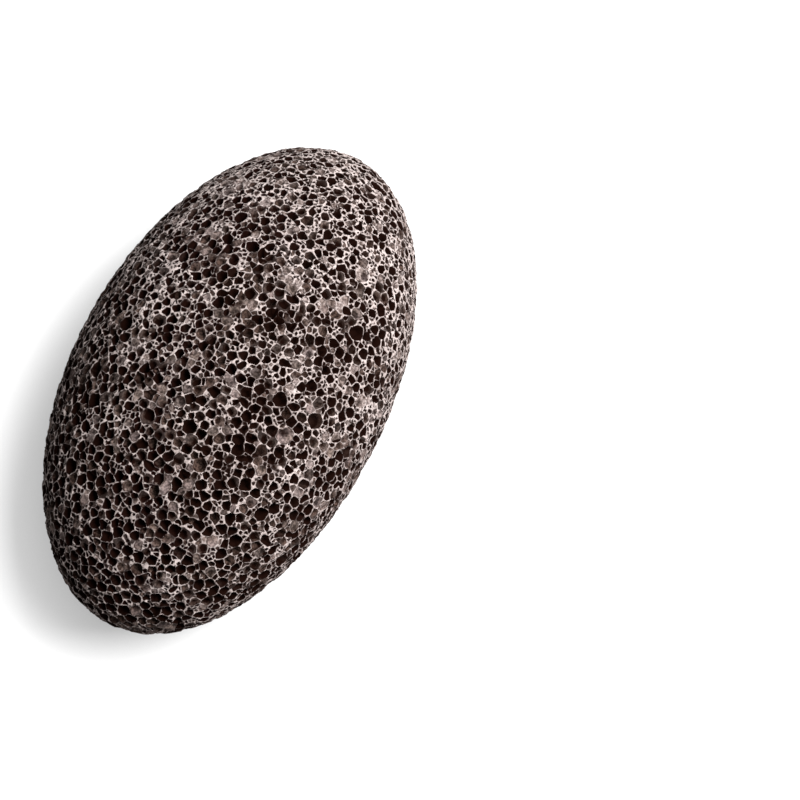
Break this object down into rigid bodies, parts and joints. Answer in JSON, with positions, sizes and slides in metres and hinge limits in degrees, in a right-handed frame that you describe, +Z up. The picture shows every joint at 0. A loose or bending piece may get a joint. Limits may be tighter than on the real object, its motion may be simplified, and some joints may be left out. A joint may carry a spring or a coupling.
{
  "type": "pumice stone",
  "caption": "Oval pebble of dark, frothy lava with open bubbles all over, ground to a hand-sized form for rubbing rough skin, resting on a small worn flat.",
  "frame": {"origin": "middle of the resting flat, under the centre of the stone's box", "axes": "+X along the stone's length, +Y across its width, +Z up through its thickness"},
  "size_m": [0.098, 0.058, 0.041],
  "materials": {
    "pumice": "matte"
  },
  "bodies": {
    "root": {"pumice_stone": "pumice"}
  },
  "joints": []
}
